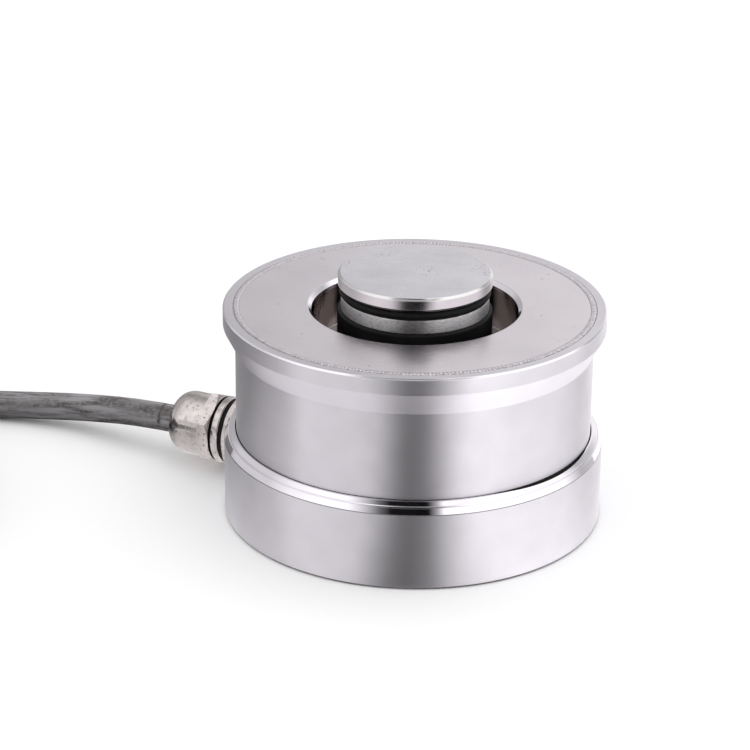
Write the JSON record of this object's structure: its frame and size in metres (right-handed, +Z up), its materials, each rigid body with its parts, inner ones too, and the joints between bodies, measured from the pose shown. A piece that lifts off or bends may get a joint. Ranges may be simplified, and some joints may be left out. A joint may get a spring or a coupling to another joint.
{
  "type": "ring torsion load cell",
  "caption": "Low round stainless load cell with a thrust piece in its central bore, a waisted body, a cable gland in the base ring and a grey cable with bare leads.",
  "frame": {"origin": "centre of the base ring, on the surface that it stands on", "axes": "+Z up the axis of the cell, -Y towards the viewer of the picture, gland and cable towards -X"},
  "size_m": [0.2748, 0.1196, 0.058],
  "materials": {
    "turned_steel": "turned and polished",
    "cover_steel": "satin, ground",
    "thrust_steel": "turned, lightly scuffed",
    "black_rubber": "matt",
    "gauge_foil": "amber film with metal foil",
    "board_laminate": "lacquered",
    "brass_hardware": "turned",
    "screw_steel": "zinc plated",
    "resistor_body": "moulded",
    "solder_tin": "bright",
    "wire_enamel": "enamelled",
    "core_insulation": "extruded",
    "nickel_plating": "nickel plated, cast skin",
    "clamp_plastic": "moulded",
    "cable_sheath": "extruded, smudged",
    "tie_plastic": "moulded",
    "shrink_sleeve": "shrunk film",
    "lead_red": "extruded",
    "lead_black": "extruded",
    "lead_green": "extruded",
    "lead_screen": "sleeved braid",
    "lead_white": "extruded",
    "lead_blue": "extruded",
    "lead_yellow": "extruded",
    "tinned_copper": "tinned"
  },
  "bodies": {
    "root": {"measuring_body": "turned_steel", "top_cover_plate": "cover_steel", "bottom_cover_plate": "cover_steel", "thrust_piece": "thrust_steel", "head_o_ring": "black_rubber", "foot_o_ring": "black_rubber", "rubber_sleeve": "black_rubber", "strain_gauge_upper_inner": "gauge_foil", "strain_gauge_upper_outer": "gauge_foil", "strain_gauge_lower_inner": "gauge_foil", "strain_gauge_lower_outer": "gauge_foil", "bridge_board": "board_laminate", "board_standoffs": "brass_hardware", "board_screws": "screw_steel", "trim_resistors": "resistor_body", "solder_terminals": "solder_tin", "gauge_wires": "wire_enamel", "cable_cores": "core_insulation", "gland_body": "nickel_plating", "gland_seal_ring": "black_rubber", "gland_collar": "nickel_plating", "gland_seal_insert": "black_rubber", "gland_clamp_insert": "clamp_plastic", "gland_dome_nut": "nickel_plating", "cable": "cable_sheath", "cable_coil": "cable_sheath", "cable_tail": "cable_sheath", "coil_tie_1": "tie_plastic", "coil_tie_2": "tie_plastic", "cable_end_sleeve": "shrink_sleeve", "lead_red": "lead_red", "lead_black": "lead_black", "lead_green": "lead_green", "lead_screen": "lead_screen", "lead_white": "lead_white", "lead_blue": "lead_blue", "lead_yellow": "lead_yellow", "lead_tips": "tinned_copper"}
  },
  "joints": []
}
